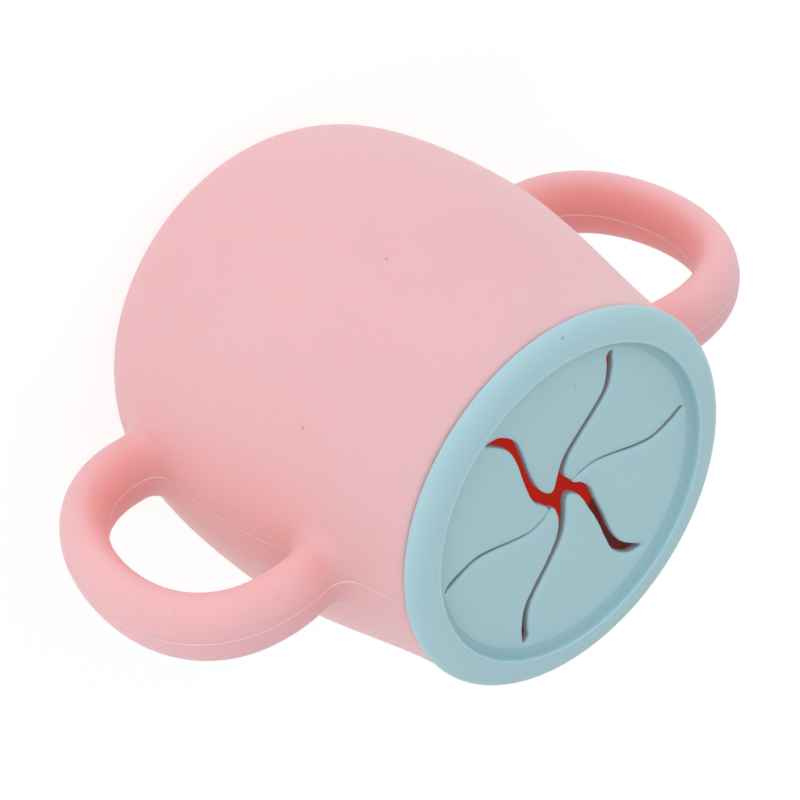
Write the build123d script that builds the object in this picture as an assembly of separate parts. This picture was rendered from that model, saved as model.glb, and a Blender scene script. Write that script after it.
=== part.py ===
from build123d import *
import os
from math import copysign, cos, radians, sin

os.makedirs("parts", exist_ok=True)

# Toddler training cup, standing upright: the base rests on Z = 0 and the handles lie along X.
# All sizes are in millimetres.

# Cup body: one silicone moulding, barrel shaped
BODY_HEIGHT = 80.0
BASE_RADIUS = 28.0
BELLY_RADIUS = 41.1
BELLY_HEIGHT = 36.0
MOUTH_RADIUS = 34.3
HEEL_SWEEP = 10.0         # pull of the flat base on the curve that turns up from it
BELLY_FALL = 22.0         # pull of the belly on the curve below it
BELLY_RISE = 14.0         # pull of the belly on the curve above it
NECK_LENGTH = 12.0        # pull of the mouth on the curve below it
NECK_FLARE = 0.6          # how much wider the end of that pull is than the mouth
WALL = 2.2
FLOOR = 3.0
LIP_ROUND = 1.0

# Loop handles, moulded with the body: the bar's centre line is a tilted, slightly squared ellipse
LOOP_STANDOFF = 1.9       # from the belly out to the ellipse's centre
LOOP_HEIGHT = 41.2
LOOP_HALF_WIDTH = 20.4
LOOP_HALF_HEIGHT = 22.6
LOOP_TILT = -6.5
LOOP_SQUARENESS = 2.17    # 2 would be a plain ellipse
LOOP_SPREAD = 0.10        # how much taller the loop is on its outer side
LOOP_START = -106         # turns on the ellipse where the bar starts and ends, both inside the wall
LOOP_END = 122
LOOP_POINTS = 13
BAR_THICKNESS = 8.1
BAR_WIDTH = 13.3
LOOP_ROOT_ROUND = 3.5

# Lid: ring, plug that sits in the mouth, and a thin recessed membrane
LID_OVERHANG = 0.25       # how far the ring stands out past the body's mouth
RING_RISE = 3.4
RING_WIDTH = 5.4          # from the body's mouth in to the recess
RING_EDGE_ROUND = 1.0
RING_INNER_ROUND = 0.35
RECESS_DEPTH = 1.95       # from the ring's top down to the membrane's border
RECESS_ROUND = 1.1
MEMBRANE_THICKNESS = 1.5
MEMBRANE_DROOP = 1.55     # how far the slit membrane hangs down in its middle
PLUG_CLEARANCE = 0.2
PLUG_THICKNESS = 2.0
PLUG_DEPTH = 16.0

# Slits in the membrane: S curves for a slit along +X, from its outer end to the middle, as distance out,
# distance sideways and width. Opposite slits are alike: nearly closed, a little open and open.
# They are drawn for a membrane of SLIT_DRAWN_RADIUS and grow with the recess.
SLIT_MARGIN = 2.3         # from the recess's wall in to the drooping membrane
SLIT_DRAWN_RADIUS = 26.6
SLITS = (
    ((27.0, 1.25, 0.30), (25.4, 0.52, 0.85), (24.0, 0.05, 0.85), (20.0, -0.75, 0.70), (16.0, 0.0, 0.55),
     (12.0, 1.3, 0.45), (7.6, 2.4, 0.40), (4.4, 2.0, 0.40), (2.9, 1.25, 0.40)),
    ((26.5, 0.95, 0.40), (25.5, 0.75, 1.35), (24.0, 0.0, 1.15), (20.0, -0.95, 0.95), (16.0, -0.05, 1.00),
     (12.0, 1.3, 1.00), (7.6, 2.4, 1.20), (4.4, 2.0, 1.45)),
    ((25.4, 1.7, 0.70), (24.0, 0.55, 1.75), (20.0, -0.68, 1.85), (16.0, 0.0, 1.55), (12.0, 1.3, 1.60),
     (7.6, 2.4, 1.90)),
)
SLIT_TURNS = (0.0, 58.9, 120.5, 182.0, 237.9, 299.3)

# Tips of the first three flaps between their slits, from the middle of the opening where the slits meet;
# the other three are the same tips turned half round
OPENING_CENTRE = (-0.1, -0.4)
FLAP_TIPS = (
    ((2.1, 1.85), (1.55, 2.45)),
    ((-0.75, 2.85), (-1.25, 1.75), (-1.95, 1.45), (-2.65, 1.8), (-3.85, 3.15)),
    ((-6.2, 3.1), (-5.5, 1.75), (-4.3, 0.45)),
)

# Flap roots, where the silicone bends: straight lines across the flaps at one distance from the axis
ROOT_BORDER = 7.1         # from the slits' outer ends in to the bending lines
ROOT_GAP = 0.95           # room between the bending line and the border's edge
FLAP_ROOT_ROUND = 0.7     # rounding of a flap's root edges, just under half the membrane's thickness
CORE_MARGIN = 2.1         # the core that the slits divide stops this far inside their outer ends

# Sizes that follow from those above
LOOP_REACH = BELLY_RADIUS + LOOP_STANDOFF
LID_TOP = BODY_HEIGHT + RING_RISE
LID_RADIUS = MOUTH_RADIUS + LID_OVERHANG
RING_INNER_RADIUS = MOUTH_RADIUS - RING_WIDTH
MEMBRANE_TOP = LID_TOP - RECESS_DEPTH
PLUG_RADIUS = MOUTH_RADIUS - WALL - PLUG_CLEARANCE
SLIT_RADIUS = RING_INNER_RADIUS - SLIT_MARGIN
SLIT_GROWTH = SLIT_RADIUS / SLIT_DRAWN_RADIUS
CORE_RADIUS = SLIT_RADIUS - CORE_MARGIN
HINGE_DISTANCE = SLIT_RADIUS - ROOT_BORDER
CUT_DEPTH = 4 * (MEMBRANE_THICKNESS + MEMBRANE_DROOP)
SAME = 0.01               # two sizes closer than this are taken as equal


def point(radius, height):
    """A point of a half section, in the XZ plane."""
    return Vector(radius, 0, height)


def spin(edges):
    """Turn a closed half section round the cup's axis."""
    return revolve(Face(Wire(edges)), Axis.Z)


def barrel(inset, bottom):
    """Solid barrel with the body's outline moved inwards by inset, from bottom up to the mouth."""
    foot = point(BASE_RADIUS - inset, bottom)
    belly = point(BELLY_RADIUS - inset, BELLY_HEIGHT)
    mouth = point(MOUTH_RADIUS - inset, BODY_HEIGHT)
    edges = [
        Edge.make_line(point(0, bottom), foot),
        Edge.make_bezier(foot, foot + point(HEEL_SWEEP, 0), belly - point(0, BELLY_FALL), belly),
        Edge.make_bezier(belly, belly + point(0, BELLY_RISE), mouth + point(NECK_FLARE, -NECK_LENGTH), mouth),
        Edge.make_line(mouth, point(0, BODY_HEIGHT)),
        Edge.make_line(point(0, BODY_HEIGHT), point(0, bottom)),
    ]
    return spin(edges)


def loop_point(turn):
    """Point on the handle's centre line, a tilted superellipse that is taller on its outer side."""
    power = 2 / LOOP_SQUARENESS
    across = copysign(abs(cos(radians(turn))) ** power, cos(radians(turn)))
    along = copysign(abs(sin(radians(turn))) ** power, sin(radians(turn)))
    u = LOOP_HALF_WIDTH * across
    v = LOOP_HALF_HEIGHT * along * (1 + LOOP_SPREAD * across)
    tilt = radians(LOOP_TILT)
    return point(LOOP_REACH + u * cos(tilt) - v * sin(tilt), LOOP_HEIGHT + u * sin(tilt) + v * cos(tilt))


def handle():
    """Loop handle on the +X side: an oval bar swept round the loop, with both ends inside the wall."""
    step = (LOOP_END - LOOP_START) / (LOOP_POINTS - 1)
    path = Edge.make_spline([loop_point(LOOP_START + step * i) for i in range(LOOP_POINTS)])
    root = Plane(origin=path @ 0, x_dir=(0, 1, 0), z_dir=path % 0)
    bar = root * Ellipse(BAR_WIDTH / 2, BAR_THICKNESS / 2)
    return sweep(bar, path=path)


def cup_body():
    """Hollow body and its two handles as one moulding."""
    grip = handle()
    outer = barrel(0, 0)
    solid = outer + grip + mirror(grip, about=Plane.YZ)
    roots = [edge for edge in solid.edges() if is_root(edge)]
    solid = fillet(roots, LOOP_ROOT_ROUND)
    lip = solid.edges().filter_by(GeomType.CIRCLE).sort_by(Axis.Z)[-1]
    solid = fillet(lip, LIP_ROUND)
    return solid - barrel(WALL, FLOOR)


def is_root(edge):
    """True for an edge where a handle meets the body."""
    middle = edge.position_at(0.5)
    ring = edge.geom_type == GeomType.CIRCLE
    return not ring and abs(middle.X) > MOUTH_RADIUS and edge.bounding_box().size.Y > BAR_WIDTH / 4


def dish(top):
    """Half section of the drooping membrane's surface, from the border to the middle."""
    centre = point(0, top - MEMBRANE_DROOP)
    return Edge.make_bezier(point(SLIT_RADIUS, top), point(SLIT_RADIUS / 2, top), centre)


def lid_blank():
    """The whole lid before it is slit: domed ring, plug and drooping membrane in one moulding."""
    ring_foot = BODY_HEIGHT + RING_EDGE_ROUND
    underside = MEMBRANE_TOP - MEMBRANE_THICKNESS
    plug_end = BODY_HEIGHT - PLUG_DEPTH
    inner = PLUG_RADIUS - PLUG_THICKNESS
    dome_plane = Plane(origin=point(RING_INNER_RADIUS, ring_foot), x_dir=(1, 0, 0), z_dir=(0, -1, 0))
    dome = Edge.make_ellipse(LID_RADIUS - RING_INNER_RADIUS, LID_TOP - ring_foot, dome_plane, 0, 90)
    foot_middle = point(LID_RADIUS, ring_foot) - point(RING_EDGE_ROUND, 0)
    foot_middle += point(RING_EDGE_ROUND * cos(radians(45)), -RING_EDGE_ROUND * sin(radians(45)))
    corners = [
        point(LID_RADIUS - RING_EDGE_ROUND, BODY_HEIGHT),
        point(PLUG_RADIUS, BODY_HEIGHT),
        point(PLUG_RADIUS, plug_end),
        point(inner, plug_end),
        point(inner, underside),
        point(SLIT_RADIUS, underside),
    ]
    edges = [dome, Edge.make_three_point_arc(point(LID_RADIUS, ring_foot), foot_middle, corners[0])]
    edges += [Edge.make_line(start, end) for start, end in zip(corners, corners[1:])]
    edges += [
        dish(underside),
        Edge.make_line(point(0, underside - MEMBRANE_DROOP), point(0, MEMBRANE_TOP - MEMBRANE_DROOP)),
        dish(MEMBRANE_TOP),
        Edge.make_line(point(SLIT_RADIUS, MEMBRANE_TOP), point(RING_INNER_RADIUS, MEMBRANE_TOP)),
        Edge.make_line(point(RING_INNER_RADIUS, MEMBRANE_TOP), point(RING_INNER_RADIUS, LID_TOP)),
    ]
    blank = spin(edges)
    rims = [edge for edge in blank.edges().filter_by(GeomType.CIRCLE)
            if abs(edge.radius - RING_INNER_RADIUS) < SAME]
    rims = ShapeList(rims).sort_by(Axis.Z)
    blank = fillet(rims[0], RECESS_ROUND)
    top = blank.edges().filter_by(GeomType.CIRCLE).sort_by(Axis.Z)[-1]
    return fillet(top, RING_INNER_ROUND)


def slit_sides(number):
    """Both sides of one slit on the flat membrane, from its outer end to the middle."""
    slit = SLITS[number % len(SLITS)]
    right = [Vector(x, y) * SLIT_GROWTH - Vector(0, width / 2) for x, y, width in slit]
    left = [Vector(x, y) * SLIT_GROWTH + Vector(0, width / 2) for x, y, width in slit]
    turn = SLIT_TURNS[number]
    return [spot.rotate(Axis.Z, turn) for spot in right], [spot.rotate(Axis.Z, turn) for spot in left]


def tip_spots(number):
    """Spots along one flap's tip, from its first slit to its second."""
    turn = 0 if number < len(FLAP_TIPS) else 180
    tip = FLAP_TIPS[number % len(FLAP_TIPS)]
    return [(Vector(*spot).rotate(Axis.Z, turn) + Vector(*OPENING_CENTRE)) * SLIT_GROWTH for spot in tip]


def cuts():
    """Outline of everything that is cut from the membrane: six slits that meet in the middle."""
    edges = []
    for number in range(len(SLIT_TURNS)):
        right, left = slit_sides(number)
        next_right = slit_sides((number + 1) % len(SLIT_TURNS))[0]
        edges.append(Edge.make_spline(right[::-1]))
        edges.append(Edge.make_line(right[0], left[0]))
        edges.append(Edge.make_spline(left))
        edges.append(Edge.make_spline([left[-1]] + tip_spots(number) + [next_right[-1]]))
    return Face(Wire(edges))


def through(flat):
    """Prism over a flat outline that passes right through the membrane."""
    return Pos(0, 0, MEMBRANE_TOP - CUT_DEPTH / 2) * extrude(flat, CUT_DEPTH)


def flap_turns():
    """Direction of each flap's middle, halfway between its two slits."""
    following = SLIT_TURNS[1:] + (SLIT_TURNS[0] + 360,)
    return [(turn + after) / 2 for turn, after in zip(SLIT_TURNS, following)]


def inside_line(turn, distance):
    """Flat area on the near side of a line square to the direction turn, at that distance."""
    span = 4 * LID_RADIUS
    return Rot(0, 0, turn) * Pos(distance - span / 2, 0, 0) * Rectangle(span, span)


def sector(core, turn):
    """The piece of the slit core that lies in the direction turn."""
    spot = Vector(HINGE_DISTANCE * cos(radians(turn)), HINGE_DISTANCE * sin(radians(turn)), 0)
    return min(core.faces(), key=lambda face: (face.center() - spot).length)


def rooted_sheet():
    """Membrane as far as the bending line of a flap along +X, and the flap's rounded root past the line."""
    underside = MEMBRANE_TOP - MEMBRANE_THICKNESS
    edges = [
        dish(underside),
        Edge.make_line(point(0, underside - MEMBRANE_DROOP), point(0, MEMBRANE_TOP - MEMBRANE_DROOP)),
        dish(MEMBRANE_TOP),
        Edge.make_line(point(SLIT_RADIUS, MEMBRANE_TOP), point(SLIT_RADIUS, underside)),
    ]
    disc = Rot(0, 0, 180) * spin(edges)
    sheet = disc & through(inside_line(0, HINGE_DISTANCE + FLAP_ROOT_ROUND))
    end = sheet.faces().sort_by(Axis.X)[-1]
    long_edges = end.edges().sort_by(SortBy.LENGTH)[-2:]
    return fillet(long_edges, FLAP_ROOT_ROUND)


def slit_lid():
    """Ring with the membrane's border, and the six flaps."""
    blank = lid_blank()
    sheet = rooted_sheet()
    cut = cuts()
    core = Circle(CORE_RADIUS) - cut
    rim = blank - through(cut)
    flaps = []
    for turn in flap_turns():
        room = through(sector(core, turn) & inside_line(turn, HINGE_DISTANCE + ROOT_GAP))
        flaps.append(Rot(0, 0, turn) * sheet & room)
        rim -= room
    return rim, flaps


def save(name, solid):
    """Write one named sub-part and print its volume."""
    print(name, round(solid.volume, 1), "valid" if solid.is_valid else "not valid", len(solid.solids()))
    export_step(solid, f"parts/{name}.step")


lid_rim, lid_flaps = slit_lid()
save("cup_body", cup_body())
save("lid_rim", lid_rim)
for number, flap in enumerate(lid_flaps, start=1):
    save(f"lid_flap_{number}", flap)
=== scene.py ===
import math

import bmesh
import bpy
from mathutils import Matrix, Vector
from mathutils.bvhtree import BVHTree
from mathutils.geometry import interpolate_bezier
from mathutils.interpolate import poly_3d_calc
from mathutils.kdtree import KDTree
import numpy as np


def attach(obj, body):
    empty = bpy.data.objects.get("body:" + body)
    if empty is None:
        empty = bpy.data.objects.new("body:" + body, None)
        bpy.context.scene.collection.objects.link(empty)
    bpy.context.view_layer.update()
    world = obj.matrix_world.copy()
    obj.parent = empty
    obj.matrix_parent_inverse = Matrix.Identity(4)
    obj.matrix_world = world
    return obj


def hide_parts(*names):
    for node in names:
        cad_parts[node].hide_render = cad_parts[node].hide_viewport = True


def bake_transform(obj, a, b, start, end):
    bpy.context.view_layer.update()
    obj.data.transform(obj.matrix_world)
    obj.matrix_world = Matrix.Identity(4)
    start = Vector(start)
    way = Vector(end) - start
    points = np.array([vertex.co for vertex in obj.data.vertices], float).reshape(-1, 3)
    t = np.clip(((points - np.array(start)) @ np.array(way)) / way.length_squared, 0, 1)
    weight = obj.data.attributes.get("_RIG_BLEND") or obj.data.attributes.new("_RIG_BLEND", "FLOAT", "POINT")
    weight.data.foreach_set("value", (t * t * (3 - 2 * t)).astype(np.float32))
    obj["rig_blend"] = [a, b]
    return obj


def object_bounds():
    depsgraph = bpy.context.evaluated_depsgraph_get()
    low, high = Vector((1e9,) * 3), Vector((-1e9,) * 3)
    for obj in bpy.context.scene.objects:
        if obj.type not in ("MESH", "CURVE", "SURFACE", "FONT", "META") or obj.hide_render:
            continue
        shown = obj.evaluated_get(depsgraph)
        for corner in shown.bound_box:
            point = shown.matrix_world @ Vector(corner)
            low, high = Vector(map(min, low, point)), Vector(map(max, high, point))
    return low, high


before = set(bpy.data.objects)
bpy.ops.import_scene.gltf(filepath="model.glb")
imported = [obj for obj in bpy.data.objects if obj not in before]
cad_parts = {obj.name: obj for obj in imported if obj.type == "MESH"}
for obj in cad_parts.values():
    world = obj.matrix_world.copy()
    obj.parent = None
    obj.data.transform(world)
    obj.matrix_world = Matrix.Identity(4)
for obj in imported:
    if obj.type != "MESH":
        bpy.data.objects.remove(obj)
cad_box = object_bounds()


# Cup body: a barrel with two loop handles, pressed from one charge of pale pink silicone.
# The moulded shape is taken from the frame, and its roots and lip are eased
# the way that a soft moulding rounds them off.
MM = 0.001
MERGED = 0.001 * MM       # corners closer than this are one corner
WALL = 2.2 * MM
BASE_FLOOR = 3.0 * MM
LIP_HEIGHT = 80 * MM
BODY_GRAIN = 0.84 * MM    # mesh size, which also sets how far the edges are eased
LEVEL_FACING = 0.999      # upward part of a facet's normal from which it is a flat floor or rim
WALL_FACING = 0.94        # cosine of the widest bend that still belongs to a curved wall
EASING_PASSES = 2
LIP_EASING_PASSES = 4
LIP_EASING_DEPTH = 2.5 * MM


def mesh_piece(name, mesh):
    """Add a mesh to the scene as a named piece."""
    piece = bpy.data.objects.new(name, mesh)
    bpy.context.scene.collection.objects.link(piece)
    return piece


def settled(piece):
    """The piece's mesh with its modifiers worked in, and smooth shaded."""
    graph = bpy.context.evaluated_depsgraph_get()
    mesh = bpy.data.meshes.new_from_object(piece.evaluated_get(graph))
    for polygon in mesh.polygons:
        polygon.use_smooth = True
    return mesh


moulding = bmesh.new()
moulding.from_mesh(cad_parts["cup_body"].data)
bmesh.ops.remove_doubles(moulding, verts=moulding.verts, dist=MERGED)
body_mesh = bpy.data.meshes.new("cup_moulding")
moulding.to_mesh(body_mesh)
rough_body = mesh_piece("cup_moulding", body_mesh)
remesh = rough_body.modifiers.new("even_grain", "REMESH")
remesh.mode = "VOXEL"
remesh.voxel_size = BODY_GRAIN
walls = BVHTree.FromBMesh(moulding)
moulding.normal_update()
moulding.faces.ensure_lookup_table()


def on_skin(spot):
    """The nearest spot on the moulding, with the facets of its curved walls rounded out."""
    near, facing, index, _ = walls.find_nearest(spot)
    corners = moulding.faces[index].verts
    sharpest = min(corner.normal.dot(facing) for corner in corners)
    if abs(facing.z) > LEVEL_FACING or sharpest < WALL_FACING:
        return near
    weights = poly_3d_calc([corner.co for corner in corners], near)
    swell = sum((corner.normal * ((corner.co - near).dot(corner.normal) * weight / 2)
                 for corner, weight in zip(corners, weights)), Vector())
    return near + swell


def ease_corners(mesh, corners, passes):
    """Move each corner halfway to the mean of its neighbours, in so many passes."""
    for i in range(passes):
        bmesh.ops.smooth_vert(mesh, verts=corners, factor=0.5,
                              use_axis_x=True, use_axis_y=True, use_axis_z=True)


shell = bmesh.new()
shell.from_mesh(settled(rough_body))
for vertex in shell.verts:
    vertex.co = on_skin(vertex.co)
ease_corners(shell, shell.verts[:], EASING_PASSES)
lip = [vertex for vertex in shell.verts if vertex.co.z > LIP_HEIGHT - LIP_EASING_DEPTH]
ease_corners(shell, lip, LIP_EASING_PASSES)
body_mesh = bpy.data.meshes.new("cup_shell")
shell.to_mesh(body_mesh)
body_piece = mesh_piece("cup_shell", body_mesh)
bpy.data.objects.remove(rough_body)


def outer_radius(height):
    """The body's outer radius at a height, felt from the side that has no handle."""
    hit = walls.ray_cast(Vector((0, 1, height)), Vector((0, -1, 0)))[0]
    return hit.y if hit else 0


bore = body_piece.data.attributes.new("bore", "FLOAT", "POINT")
for vertex in body_piece.data.vertices:
    spot = vertex.co
    radius = math.hypot(spot.x, spot.y)
    feeler = outer_radius(min(spot.z, LIP_HEIGHT - MM))
    inside = spot.z > BASE_FLOOR / 2 and radius < feeler - WALL / 2
    bore.data[vertex.index].value = 1.0 if inside else 0.0

# Painted shade: where the cup hides the room from itself, its colour is mixed toward a deeper salmon,
# standing in for the redder light that reaches such places through the pink silicone.
SHADE_RAYS = 24
SHADE_PASSES = 4
RAY_START = 0.1 * MM      # off the skin, so that a ray doesn't meet the skin it leaves
GOLDEN_TURN = 2.39996     # in radians: it spreads the rays evenly round

shell.clear()
shell.from_mesh(body_piece.data)
skin = BVHTree.FromBMesh(shell)
fan = []
for i in range(SHADE_RAYS):
    share = (i + 0.5) / SHADE_RAYS
    spread, turn = math.sqrt(share), i * GOLDEN_TURN
    fan.append(Vector((spread * math.cos(turn), spread * math.sin(turn), math.sqrt(1 - share))))
bore_values = shell.verts.layers.float["bore"]
hidden = shell.verts.layers.float.new("hidden")
for vertex in shell.verts:
    if vertex[bore_values] < 0.5:
        frame_turn = vertex.normal.to_track_quat("Z", "Y")
        start = vertex.co + vertex.normal * RAY_START
        blocked = sum(skin.ray_cast(start, frame_turn @ way)[0] is not None for way in fan)
        vertex[hidden] = blocked / SHADE_RAYS
for i in range(SHADE_PASSES):
    means = [sum(edge.other_vert(vertex)[hidden] for edge in vertex.link_edges) / len(vertex.link_edges)
             for vertex in shell.verts]
    for vertex, mean in zip(shell.verts, means):
        vertex[hidden] = (vertex[hidden] + mean) / 2
shell.to_mesh(body_piece.data)
shell.free()


def linear(code):
    """Linear RGBA of an sRGB hex colour."""
    parts = [int(code[i:i + 2], 16) / 255 for i in (0, 2, 4)]
    return [part / 12.92 if part <= 0.04045 else ((part + 0.055) / 1.055) ** 2.4 for part in parts] + [1.0]


def add_node(tree, kind, inputs=(), **settings):
    """Add one node, with its settings, and give its inputs values or links."""
    node = tree.nodes.new(kind)
    for name, value in settings.items():
        setattr(node, name, value)
    for socket, value in dict(inputs).items():
        if isinstance(value, bpy.types.NodeSocket):
            tree.links.new(value, node.inputs[socket])
        else:
            node.inputs[socket].default_value = value
    return node


def new_material(name):
    """An empty node material, its tree and its output node."""
    material = bpy.data.materials.new(name)
    material.use_nodes = True
    material.node_tree.nodes.clear()
    output = material.node_tree.nodes.new("ShaderNodeOutputMaterial")
    return material, material.node_tree, output


# Platinum-cured silicone off a finely blasted steel mould: matt, with a soft bloom at grazing angles,
# light that soaks in a few millimetres, a tooth too fine to see singly, and lint that clings to it.
# Painted light: from partway down, the bore is coloured red and made to glow, standing in for the light that
# passes through the pink wall and bounces inside the cup.
RED_LIGHT_INSIDE = "CF3A2E"
DEEP_HEIGHT = 58 * MM     # from here down the light inside the cup has turned red
DEEP_GLOW = 0.27          # stands for the light that comes through the wall
PIGMENT_CLOUD = 28 * MM   # the pigment is stirred in unevenly over about this distance
TOOTH = 0.3 * MM          # drawn coarser than the blasted grain so that it shows
TOOTH_DEPTH = 0.02 * MM
LINT_SPACING = 7 * MM
LINT_SIZE = 0.13 * MM     # drawn a little coarser than real lint so that it shows
LINT_FADE = 2.5           # a speck ends this many times farther out
LINT_BARE = 0.3           # share of the places that no lint clings to


def silicone_surface(tree, place, colour, lint_colour):
    """The base colour with lint on it, and the normal of the fine tooth."""
    lint = add_node(tree, "ShaderNodeTexVoronoi", {"Vector": place, "Scale": 1 / LINT_SPACING})
    chosen = add_node(tree, "ShaderNodeSeparateColor", {"Color": lint.outputs["Color"]})
    rare = add_node(tree, "ShaderNodeMath", {0: chosen.outputs[0], 1: LINT_BARE}, operation="GREATER_THAN")
    near = add_node(tree, "ShaderNodeMapRange", {
        "Value": lint.outputs["Distance"],
        "From Min": LINT_SIZE / LINT_SPACING, "From Max": LINT_FADE * LINT_SIZE / LINT_SPACING,
        "To Min": 1.0, "To Max": 0.0})
    speck = add_node(tree, "ShaderNodeMath", {0: near.outputs[0], 1: rare.outputs[0]}, operation="MULTIPLY")
    dusty = add_node(tree, "ShaderNodeMix", {
        "Factor": speck.outputs[0], "A": colour, "B": linear(lint_colour)}, data_type="RGBA")
    tooth = add_node(tree, "ShaderNodeTexNoise", {"Vector": place, "Scale": 1 / TOOTH, "Detail": 2.0})
    bump = add_node(tree, "ShaderNodeBump", {
        "Height": tooth.outputs[0], "Strength": 0.35, "Distance": TOOTH_DEPTH})
    return dusty.outputs["Result"], bump.outputs["Normal"]


body_silicone, tree, output = new_material("moulded_silicone_pink")
place = add_node(tree, "ShaderNodeTexCoord").outputs["Object"]
height = add_node(tree, "ShaderNodeSeparateXYZ", {0: place}).outputs["Z"]
# Painted light: the share of red colour and glow in the bore, growing from the lip down to DEEP_HEIGHT.
depth = add_node(tree, "ShaderNodeMapRange", {
    "Value": height, "From Min": LIP_HEIGHT, "From Max": DEEP_HEIGHT, "To Min": 0.0, "To Max": 1.0},
    interpolation_type="SMOOTHSTEP")
in_bore = add_node(tree, "ShaderNodeAttribute", attribute_name="bore")
red_light_share = add_node(tree, "ShaderNodeMath", {
    0: depth.outputs[0], 1: in_bore.outputs["Fac"]}, operation="MULTIPLY")
cloud = add_node(tree, "ShaderNodeTexNoise", {"Vector": place, "Scale": 1 / PIGMENT_CLOUD, "Detail": 2.0})
pink = add_node(tree, "ShaderNodeMix", {
    "Factor": cloud.outputs[0], "A": linear("F0BFC3"), "B": linear("ECB9BE")}, data_type="RGBA")
shaded = add_node(tree, "ShaderNodeAttribute", attribute_name="hidden")
# Painted shade: the pink turns deeper salmon by the share of the room that the cup hides from each spot.
crease_shade_paint = add_node(tree, "ShaderNodeMix", {
    "Factor": shaded.outputs["Fac"], "A": pink.outputs["Result"], "B": linear("F8A59C")}, data_type="RGBA")
red_lit = add_node(tree, "ShaderNodeMix", {
    "Factor": red_light_share.outputs[0], "A": crease_shade_paint.outputs["Result"], "B": linear(RED_LIGHT_INSIDE)}, data_type="RGBA")
colour, normal = silicone_surface(tree, place, red_lit.outputs["Result"], "C3979A")
painted_glow = add_node(tree, "ShaderNodeMath", {0: red_light_share.outputs[0], 1: DEEP_GLOW}, operation="MULTIPLY")
surface = add_node(tree, "ShaderNodeBsdfPrincipled", {
    "Base Color": colour, "Normal": normal, "Roughness": 0.56, "IOR": 1.41,
    "Subsurface Weight": 0.6, "Subsurface Radius": (1.0, 0.28, 0.24), "Subsurface Scale": 5 * MM,
    "Sheen Weight": 0.12, "Sheen Roughness": 0.45,
    "Emission Color": linear("D24232"), "Emission Strength": painted_glow.outputs[0]})
tree.links.new(surface.outputs[0], output.inputs["Surface"])
body_piece.data.materials.append(body_silicone)
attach(body_piece, "cup")
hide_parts("cup_body")


# Parting line: the thin thread of silicone that the two halves of the mould leave between them,
# all round both handles and down the body, most of it sunk in the surface.
THREAD_RADIUS = 0.24 * MM
THREAD_PROUD = 0.07 * MM
THREAD_TRIM = 1.2 * MM    # it is trimmed off this far from the cup's foot and from its lip
OUTSIDE = 0.3             # bore attribute up to which a corner is on the outside
THREAD_WEAR = 6 * MM      # it is rubbed paler in patches of about this length

halved = bmesh.new()
halved.from_mesh(body_piece.data)
cut = bmesh.ops.bisect_plane(halved, geom=halved.verts[:] + halved.edges[:] + halved.faces[:],
                             plane_co=(0, 0, 0), plane_no=(0, 1, 0), dist=0.01 * MM)
bore_layer = halved.verts.layers.float["bore"]
farthest = cad_box[1][0] - THREAD_RADIUS
thread = bmesh.new()
made = {}


def on_parting_line(corner):
    """Whether a corner of the cut lies outside the cup and clear of its foot and lip."""
    return corner[bore_layer] <= OUTSIDE and THREAD_TRIM <= corner.co.z <= LIP_HEIGHT - THREAD_TRIM


for edge in cut["geom_cut"]:
    if not isinstance(edge, bmesh.types.BMEdge) or not all(on_parting_line(end) for end in edge.verts):
        continue
    for end in edge.verts:
        if end not in made:
            sunk = end.co - end.normal * (THREAD_RADIUS - THREAD_PROUD)
            made[end] = thread.verts.new((max(-farthest, min(farthest, sunk.x)), 0, sunk.z))
    thread.edges.new([made[end] for end in edge.verts])
ease_corners(thread, thread.verts[:], 1)
thread_mesh = bpy.data.meshes.new("parting_path")
thread.to_mesh(thread_mesh)
path = mesh_piece("parting_path", thread_mesh)
bpy.ops.object.select_all(action="DESELECT")
bpy.context.view_layer.objects.active = path
path.select_set(True)
bpy.ops.object.convert(target="CURVE")
path.data.bevel_depth = THREAD_RADIUS
path.data.bevel_resolution = 2
path.data.use_fill_caps = True
thread = bmesh.new()
thread.from_mesh(settled(path))
bmesh.ops.remove_doubles(thread, verts=thread.verts, dist=MERGED)
bmesh.ops.recalc_face_normals(thread, faces=thread.faces)
thread_mesh = bpy.data.meshes.new("parting_line")
thread.to_mesh(thread_mesh)
parting_line = mesh_piece("parting_line", thread_mesh)
bpy.data.objects.remove(path)

# The same pink silicone, a little glossier than the blasted walls, coloured paler than the body: a painted
# highlight for the light line along the raised thread.
thread_silicone, tree, output = new_material("moulded_silicone_thread")
place = add_node(tree, "ShaderNodeTexCoord").outputs["Object"]
worn = add_node(tree, "ShaderNodeTexNoise", {"Vector": place, "Scale": 1 / THREAD_WEAR, "Detail": 1.0})
pale_highlight = add_node(tree, "ShaderNodeMix", {
    "Factor": worn.outputs[0], "A": linear("F8C6C9"), "B": linear("FFD5D6")}, data_type="RGBA")
surface = add_node(tree, "ShaderNodeBsdfPrincipled", {
    "Base Color": pale_highlight.outputs["Result"], "Roughness": 0.45, "IOR": 1.41})
tree.links.new(surface.outputs[0], output.inputs["Surface"])
parting_line.data.materials.append(thread_silicone)
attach(parting_line, "cup")


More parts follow.
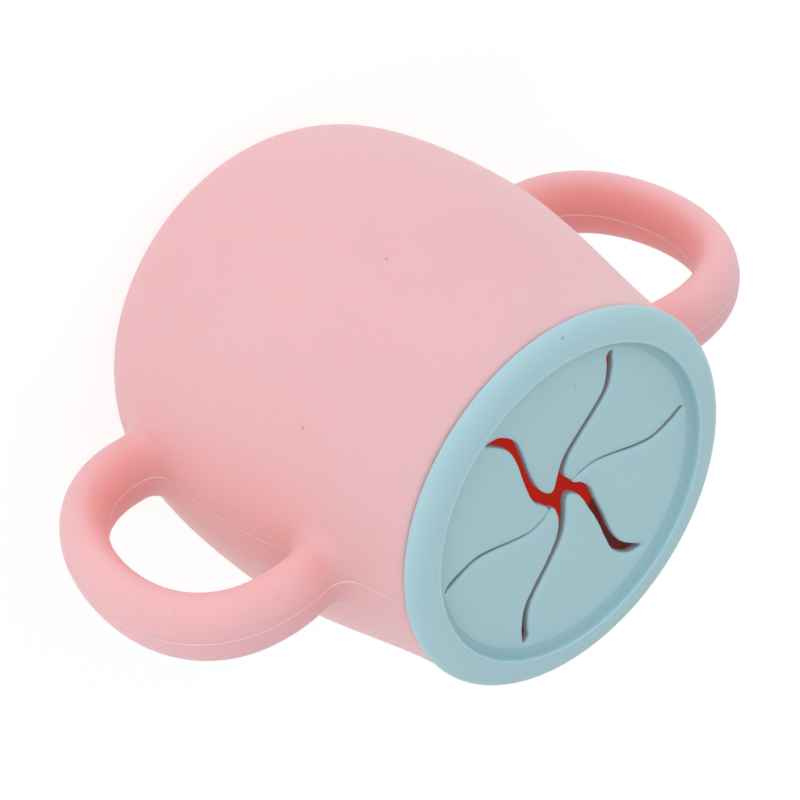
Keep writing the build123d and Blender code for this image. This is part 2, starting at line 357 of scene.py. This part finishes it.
# Lid ring: the domed rim, the border of the membrane and the long skirt that plugs the mouth,
# one ring of blue-green silicone pressed in by hand.
RIM_TOP = 83.39 * MM
RIM_CROWN = 83.27 * MM    # the bead on the inner edge stands a little above the crown
RIM_FOOT = 81.0 * MM
RIM_OUTER = 34.55 * MM
RIM_INNER = 28.95 * MM
RIM_EDGE = 0.3 * MM
BEAD_WIDTH = 0.78 * MM    # from the recess's wall to where the crown starts
RIM_CORNER = 1.0 * MM
MEMBRANE_TOP = 81.45 * MM
MEMBRANE_THICKNESS = 1.5 * MM
RECESS_ROUND = 1.25 * MM
SEAM_RADIUS = 27.6 * MM
SKIRT_OUTER = 31.9 * MM
SKIRT_INNER = 29.9 * MM
SKIRT_END = 64.0 * MM
SKIRT_ROUND = 0.5 * MM
RING_STEPS = 256
CREASE = math.radians(40)


def arc(centre_x, centre_z, radius_x, radius_z, first, last, steps):
    """Points of an arc in the half section, by its turns in degrees."""
    turns = [math.radians(first + (last - first) * i / steps) for i in range(steps + 1)]
    return [(centre_x + radius_x * math.cos(turn), centre_z + radius_z * math.sin(turn))
            for turn in turns]


crown_start = RIM_INNER + BEAD_WIDTH
membrane_foot = MEMBRANE_TOP - MEMBRANE_THICKNESS
half_section = [(SEAM_RADIUS, MEMBRANE_TOP)]
half_section += arc(RIM_INNER - RECESS_ROUND, MEMBRANE_TOP + RECESS_ROUND,
                    RECESS_ROUND, RECESS_ROUND, 270, 360, 10)
half_section += arc(RIM_INNER + RIM_EDGE, RIM_TOP - RIM_EDGE, RIM_EDGE, RIM_EDGE, 180, 50, 7)
half_section += arc(crown_start, RIM_FOOT, RIM_OUTER - crown_start, RIM_CROWN - RIM_FOOT, 90, 0, 20)
half_section += arc(RIM_OUTER - RIM_CORNER, RIM_FOOT, RIM_CORNER, RIM_CORNER, 0, -90, 6)[1:]
half_section += [(SKIRT_OUTER, LIP_HEIGHT),
                 (SKIRT_OUTER, SKIRT_END + SKIRT_ROUND), (SKIRT_OUTER - SKIRT_ROUND, SKIRT_END),
                 (SKIRT_INNER + SKIRT_ROUND, SKIRT_END), (SKIRT_INNER, SKIRT_END + SKIRT_ROUND),
                 (SKIRT_INNER, membrane_foot), (SEAM_RADIUS, membrane_foot)]

ring = bmesh.new()
corners = [ring.verts.new((x, 0, z)) for x, z in half_section]
outline = [ring.edges.new((corners[i - 1], corners[i])) for i in range(len(corners))]
bmesh.ops.spin(ring, geom=corners + outline, cent=(0, 0, 0), axis=(0, 0, 1), angle=2 * math.pi,
               steps=RING_STEPS, use_merge=True)
bmesh.ops.remove_doubles(ring, verts=ring.verts, dist=MERGED)
bmesh.ops.recalc_face_normals(ring, faces=ring.faces)
for face in ring.faces:
    face.smooth = True
for edge in ring.edges:
    if len(edge.link_faces) == 2 and edge.calc_face_angle() > CREASE:
        edge.smooth = False

# Painted shade: the tint darkens the recess's corner and the cut walls for what light loses on its way into
# them; on the cut walls it is also reddish, painted light from the red inside of the cup.
RECESS_SHADE_PAINT = (0.70, 0.79, 0.78)
CUT_SHADE_PAINT = (0.58, 0.38, 0.38)
RECESS_NEAR = (26.8 * MM, 28.9 * MM)                        # radii between which the tint comes in
RECESS_CLIMB = (MEMBRANE_TOP + 0.6 * MM, RIM_TOP - 0.1 * MM)    # heights between which it goes


def ease(value, first, last):
    """Smooth step from 0 at the first value to 1 at the last."""
    share = max(0, min(1, (value - first) / (last - first)))
    return share * share * (3 - 2 * share)


def painted_shade(vertex, layer, colour, share):
    """Store one vertex's painted shade: white, or a shade colour by its share."""
    vertex[layer] = [1 - share * (1 - part) for part in colour] + [1]


painted_shade_layer = ring.verts.layers.float_color.new("painted_shade")
# Painted shade in the recess's corner, fading out up its wall.
for vertex in ring.verts:
    radius = vertex.co.xy.length
    nearness = ease(radius, *RECESS_NEAR)
    climb = ease(vertex.co.z, *RECESS_CLIMB)
    in_recess = vertex.co.z > MEMBRANE_TOP - MM and radius < RIM_INNER + RIM_EDGE
    painted_shade(vertex, painted_shade_layer, RECESS_SHADE_PAINT, nearness * (1 - climb) if in_recess else 0)
ring_mesh = bpy.data.meshes.new("lid_ring")
ring.to_mesh(ring_mesh)
lid_ring = mesh_piece("lid_ring", ring_mesh)

# The same silicone in blue-green: more pigment, so light soaks in less and edges look firmer.
LID_CLOUD = 24 * MM

lid_silicone, tree, output = new_material("moulded_silicone_blue_green")
place = add_node(tree, "ShaderNodeTexCoord").outputs["Object"]
cloud = add_node(tree, "ShaderNodeTexNoise", {"Vector": place, "Scale": 1 / LID_CLOUD, "Detail": 2.0})
blue = add_node(tree, "ShaderNodeMix", {
    "Factor": cloud.outputs[0], "A": linear("B0D3DC"), "B": linear("ABD0D8")}, data_type="RGBA")
# Painted shade: the stored shade colour multiplies the blue-green in the recess's corner and on the cut
# walls.
painted_shade_colour = add_node(tree, "ShaderNodeAttribute", attribute_name="painted_shade")
shaded_blue = add_node(tree, "ShaderNodeMix", {
    "Factor": 1.0, "A": blue.outputs["Result"], "B": painted_shade_colour.outputs["Color"]},
    data_type="RGBA", blend_type="MULTIPLY")
colour, normal = silicone_surface(tree, place, shaded_blue.outputs["Result"], "8BA3A9")
surface = add_node(tree, "ShaderNodeBsdfPrincipled", {
    "Base Color": colour, "Normal": normal, "Roughness": 0.5, "IOR": 1.41,
    "Subsurface Weight": 0.35, "Subsurface Radius": (0.7, 1.0, 1.0), "Subsurface Scale": 0.8 * MM,
    "Sheen Weight": 0.12, "Sheen Roughness": 0.45})
tree.links.new(surface.outputs[0], output.inputs["Surface"])
lid_ring.data.materials.append(lid_silicone)
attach(lid_ring, "lid")
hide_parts("lid_rim")


# Flaps: six tongues of the lid's blue-green silicone that the S-shaped slits leave in the membrane,
# in one with its border. They sag a little to the middle, their cut edges are eased,
# and each bends at a line near its root.
SAG_RADIUS = 26.6 * MM
SAG = 1.55 * MM
# Places along each slit, in millimetres: outward, sideways and its width there.
SLITS = (
    ((26.85, 1.2, 0.62), (25.4, 0.52, 0.85), (24.0, 0.05, 0.85), (20.0, -0.75, 0.60), (16.0, 0.0, 0.44),
     (12.0, 1.3, 0.34), (7.6, 2.4, 0.28), (4.4, 2.0, 0.28), (2.9, 1.25, 0.32)),
    ((26.25, 0.92, 1.1), (25.5, 0.75, 1.5), (24.0, 0.0, 1.35), (20.0, -0.95, 1.15), (16.0, -0.05, 1.15),
     (12.0, 1.3, 1.15), (7.6, 2.4, 1.30), (4.4, 2.0, 1.5)),
    ((25.35, 1.75, 0.62), (24.0, 0.55, 1.75), (20.0, -0.68, 1.85), (16.0, 0.0, 1.55), (12.0, 1.3, 1.60),
     (7.6, 2.4, 1.90)),
)
SLIT_TURNS = (0.0, 58.9, 120.5, 182.0, 237.9, 299.3)
OPENING_CENTRE = (-0.1, -0.4)
FLAP_TIPS = (
    ((2.1, 1.85), (1.55, 2.45)),
    ((-0.75, 2.85), (-1.25, 1.75), (-1.95, 1.45), (-2.65, 1.8), (-3.85, 3.15)),
    ((-6.2, 3.1), (-5.5, 1.75), (-4.3, 0.45)),
)
OUTLINE_STEP = 0.35 * MM
EDGE_EASE = 0.3 * MM
DROOP = 0.4 * MM          # the soft edges lean down over this depth
DROOP_REACH = 1.4 * MM
DROOP_ENDS = (26.2 * MM, 27.5 * MM)     # radii over which it fades out toward the ring
CUT_DARK = (0.02 * MM, 0.6 * MM)        # depths over which a cut wall darkens
CUT_PALE = (0.9 * MM, MEMBRANE_THICKNESS)   # and over which it pales again at its foot
GRID = 0.75 * MM
LINES_OUTWARD = 36
LINES_ASIDE = 22
HINGE_DISTANCE = 19.5 * MM
BEND_HALF = 1.6 * MM      # the silicone bends this far either side of the hinge line
BEND_GRID = 0.4 * MM
SEAM_ZONE = 25 * MM       # beyond this radius the sheet meets the ring, and only there has sharp edges
SEAM_CREASE = math.radians(60)


def turned(spot, turn):
    """A spot given in millimetres, turned about the cup's axis."""
    return Matrix.Rotation(math.radians(turn), 3, "Z") @ Vector((spot[0] * MM, spot[1] * MM, 0))


def slit_side(number, side):
    """One side of a slit, from its rounded outer end in: side is -1 for the right, 1 for the left."""
    spots = SLITS[number % 3]
    end = Vector(spots[0][:2])
    outward = (end - Vector(spots[1][:2])).normalized()
    sideways = Vector((-outward.y, outward.x)) * side
    round_end = [end + (outward * math.cos(turn) + sideways * math.sin(turn)) * spots[0][2] / 2
                 for turn in (0, math.pi / 4, math.pi / 2)]
    plain = [(x, y + side * width / 2) for x, y, width in spots[1:]]
    return [turned(spot, SLIT_TURNS[number]) for spot in round_end + plain]


def smooth_line(spots):
    """Points about one step apart on a smooth line through the spots."""
    line = [spots[0]]
    last = len(spots) - 1
    pull = [(spots[min(i + 1, last)] - spots[max(i - 1, 0)]).normalized() for i in range(last + 1)]
    for i in range(last):
        reach = (spots[i + 1] - spots[i]).length
        count = max(3, round(reach / OUTLINE_STEP) + 1)
        line += interpolate_bezier(spots[i], spots[i] + pull[i] * reach / 3,
                                   spots[i + 1] - pull[i + 1] * reach / 3, spots[i + 1], count)[1:]
    return line


def flap_outline(number):
    """Closed outline of one flap on the flat membrane: its cut line, then its seam with the lid's border."""
    following = (number + 1) % 6
    half_turn = 180 if number > 2 else 0
    tips = [turned(tip, half_turn) + turned(OPENING_CENTRE, 0) for tip in FLAP_TIPS[number % 3]]
    cut_line = smooth_line(slit_side(number, 1) + tips + slit_side(following, -1)[::-1])
    turns = [math.atan2(end.y, end.x) for end in (cut_line[0], cut_line[-1])]
    span = (turns[1] - turns[0]) % (2 * math.pi)
    steps = round(span * SEAM_RADIUS / GRID)
    seam = [Matrix.Rotation(turns[1] - span * i / steps, 3, "Z") @ Vector((SEAM_RADIUS, 0, 0))
            for i in range(steps + 1)]
    return cut_line, seam


def flap_mesh(number, turn):
    """Sheet of one flap with eased cut edges, a close grid at its bend, and the membrane's sag."""
    cut_line, seam = flap_outline(number)
    sheet = bmesh.new()
    rim = [sheet.verts.new(spot) for spot in cut_line + seam]
    underside = sheet.faces.new(rim)
    raised = bmesh.ops.extrude_face_region(sheet, geom=[underside])
    tops = [item for item in raised["geom"] if isinstance(item, bmesh.types.BMVert)]
    bmesh.ops.translate(sheet, verts=tops, vec=(0, 0, MEMBRANE_THICKNESS))
    level = [edge for edge in sheet.edges if abs(edge.verts[0].co.z - edge.verts[1].co.z) < 0.01 * MM]
    cut_edges = [edge for edge in level
                 if all(end.co.xy.length < SEAM_RADIUS - 0.05 * MM for end in edge.verts)]
    bmesh.ops.bevel(sheet, geom=cut_edges, affect="EDGES", offset=EDGE_EASE, offset_type="OFFSET",
                    segments=4, profile=0.5, material=-1)
    large = [face for face in sheet.faces if abs(face.normal.z) > 0.99 and len(face.verts) > 20]
    bmesh.ops.triangulate(sheet, faces=large)
    along = Vector((math.cos(turn), math.sin(turn), 0))
    across = Vector((-along.y, along.x, 0))
    lines = [(along, i * GRID) for i in range(1, LINES_OUTWARD + 1)]
    lines += [(across, i * GRID) for i in range(-LINES_ASIDE, LINES_ASIDE + 1)]
    bends = round(2 * BEND_HALF / BEND_GRID)
    lines += [(along, HINGE_DISTANCE - BEND_HALF + i * BEND_GRID) for i in range(bends + 1)]
    for direction, distance in lines:
        bmesh.ops.bisect_plane(sheet, geom=sheet.verts[:] + sheet.edges[:] + sheet.faces[:],
                               plane_co=direction * distance, plane_no=direction, dist=0.005 * MM)
    bmesh.ops.dissolve_degenerate(sheet, edges=sheet.edges, dist=0.01 * MM)
    edge_spots = KDTree(len(cut_line))
    for i, spot in enumerate(cut_line):
        edge_spots.insert(spot, i)
    edge_spots.balance()
    painted_shade_layer = sheet.verts.layers.float_color.new("painted_shade")
    # Painted shade on the cut walls: darkest a little below the top edge, paler again at the foot.
    for vertex in sheet.verts:
        cut_depth = MEMBRANE_THICKNESS - vertex.co.z
        below_top = ease(cut_depth, *CUT_DARK)
        near_foot = ease(cut_depth, *CUT_PALE)
        painted_shade(vertex, painted_shade_layer, CUT_SHADE_PAINT, below_top * (1 - near_foot))
        radius = vertex.co.xy.length
        reach = edge_spots.find(Vector((vertex.co.x, vertex.co.y, 0)))[2]
        lean = DROOP * (1 - min(reach / DROOP_REACH, 1)) ** 2 * (1 - ease(radius, *DROOP_ENDS))
        hang = SAG * (1 - min(radius / SAG_RADIUS, 1)) ** 2
        vertex.co.z += MEMBRANE_TOP - MEMBRANE_THICKNESS - hang - lean
    bmesh.ops.recalc_face_normals(sheet, faces=sheet.faces)
    if sheet.calc_volume(signed=True) < 0:
        bmesh.ops.reverse_faces(sheet, faces=sheet.faces)
    for face in sheet.faces:
        face.smooth = True
    for edge in sheet.edges:
        if all(end.co.xy.length > SEAM_ZONE for end in edge.verts):
            edge.smooth = edge.calc_face_angle(0) < SEAM_CREASE
    mesh = bpy.data.meshes.new(f"flap_{number + 1}")
    sheet.to_mesh(mesh)
    return mesh


for number, first_turn in enumerate(SLIT_TURNS):
    next_turn = SLIT_TURNS[(number + 1) % 6] + (360 if number == 5 else 0)
    turn = math.radians((first_turn + next_turn) / 2)
    flap = mesh_piece(f"membrane_flap_{number + 1}", flap_mesh(number, turn))
    flap.data.materials.append(lid_silicone)
    weighted = flap.modifiers.new("even_shading", "WEIGHTED_NORMAL")
    weighted.keep_sharp = True
    along = Vector((math.cos(turn), math.sin(turn), 0))
    hinge = along * HINGE_DISTANCE + Vector((0, 0, MEMBRANE_TOP - MEMBRANE_THICKNESS / 2))
    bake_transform(flap, "lid", f"flap_{number + 1}",
             start=hinge + along * BEND_HALF, end=hinge - along * BEND_HALF)
    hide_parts(f"lid_flap_{number + 1}")


# Studio: the cup stands on a white table in a white room that is brighter toward the front,
# with a large soft window on either side of it.
FLOOR_SIZE = 3.0
ROOM_FRONT = (0.35, -0.9, 0.1)
ROOM_BACK_LEVEL = 0.5     # of the light that comes from the front
WINDOW_DISTANCE = 1.2
WINDOW_SIZE = 1.0
CUP_MIDDLE = 0.04         # the windows face this height

floor_mesh = bpy.data.meshes.new("floor")
sheet = bmesh.new()
bmesh.ops.create_grid(sheet, x_segments=1, y_segments=1, size=FLOOR_SIZE / 2)
sheet.to_mesh(floor_mesh)
floor = mesh_piece("floor", floor_mesh)

white_table, tree, output = new_material("white_table")
rays = add_node(tree, "ShaderNodeLightPath")
seen = add_node(tree, "ShaderNodeMath", {
    0: rays.outputs["Is Camera Ray"], 1: rays.outputs["Is Glossy Ray"]}, operation="MAXIMUM")
seen = add_node(tree, "ShaderNodeMath", {
    0: seen.outputs[0], 1: rays.outputs["Is Transmission Ray"]}, operation="MAXIMUM")
table_top = add_node(tree, "ShaderNodeBsdfDiffuse", {"Color": linear("F4F4F4")})
table_glow = add_node(tree, "ShaderNodeEmission", {"Color": linear("FFFFFF"), "Strength": 0.12})
lighting = add_node(tree, "ShaderNodeAddShader", {0: table_top.outputs[0], 1: table_glow.outputs[0]})
shadow_catch = add_node(tree, "ShaderNodeBsdfDiffuse", {"Color": linear("8C8C8C")})
white = add_node(tree, "ShaderNodeEmission", {"Color": linear("FFFFFF"), "Strength": 0.8})
backdrop = add_node(tree, "ShaderNodeAddShader", {0: shadow_catch.outputs[0], 1: white.outputs[0]})
both = add_node(tree, "ShaderNodeMixShader", {
    0: seen.outputs[0], 1: lighting.outputs[0], 2: backdrop.outputs[0]})
tree.links.new(both.outputs[0], output.inputs["Surface"])
floor.data.materials.append(white_table)

room = bpy.data.worlds.new("room")
room.use_nodes = True
background = room.node_tree.nodes["Background"]
rays = add_node(room.node_tree, "ShaderNodeLightPath")
toward = add_node(room.node_tree, "ShaderNodeTexCoord").outputs["Generated"]
front = add_node(room.node_tree, "ShaderNodeVectorMath", {0: toward, 1: ROOM_FRONT},
                 operation="DOT_PRODUCT")
fade = add_node(room.node_tree, "ShaderNodeMapRange", {
    "Value": front.outputs["Value"], "From Min": -1.0, "From Max": 1.0,
    "To Min": ROOM_BACK_LEVEL, "To Max": 1.0})
level = add_node(room.node_tree, "ShaderNodeMix", {
    "Factor": rays.outputs["Is Camera Ray"], "A": fade.outputs[0], "B": 1.0})
background.inputs["Color"].default_value = (1, 1, 1, 1)
room.node_tree.links.new(level.outputs[0], background.inputs["Strength"])
bpy.context.scene.world = room


def soft_window(name, toward, power):
    """Hang a square soft light that faces the cup from a direction."""
    lamp = bpy.data.lights.new(name, "AREA")
    lamp.size = WINDOW_SIZE
    lamp.energy = power
    holder = bpy.data.objects.new(name, lamp)
    bpy.context.scene.collection.objects.link(holder)
    direction = Vector(toward).normalized()
    holder.location = direction * WINDOW_DISTANCE + Vector((0, 0, CUP_MIDDLE))
    holder.rotation_euler = direction.to_track_quat("Z", "Y").to_euler()


soft_window("window_left", (-0.5, -0.87, 0.25), 1.9)
soft_window("window_right", (0.94, -0.34, 0.25), 2.1)


# Camera: a long lens in front of the cup, to its right and above the lid,
# with the picture turned so that one handle points to its lower left corner.
CAMERA_PLACE = (0.210687, -0.311186, 0.349747)
CAMERA_TURN = 33.93       # round the cup's axis, in degrees, as are the next two
CAMERA_TILT = 39.49       # down from level
CAMERA_ROLL = 122.82
CAMERA_LENS = 126.58
SENSOR_WIDTH = 36.0

camera_data = bpy.data.cameras.new("camera")
camera_data.lens = CAMERA_LENS
camera_data.sensor_width = SENSOR_WIDTH
camera_data.clip_start = 0.01
camera = bpy.data.objects.new("camera", camera_data)
bpy.context.scene.collection.objects.link(camera)
aim = (Matrix.Rotation(math.radians(CAMERA_TURN), 4, "Z")
       @ Matrix.Rotation(math.radians(90 - CAMERA_TILT), 4, "X")
       @ Matrix.Rotation(math.radians(CAMERA_ROLL), 4, "Z"))
camera.matrix_world = Matrix.Translation(CAMERA_PLACE) @ aim
bpy.context.scene.camera = camera
bpy.context.scene.view_settings.view_transform = "Standard"
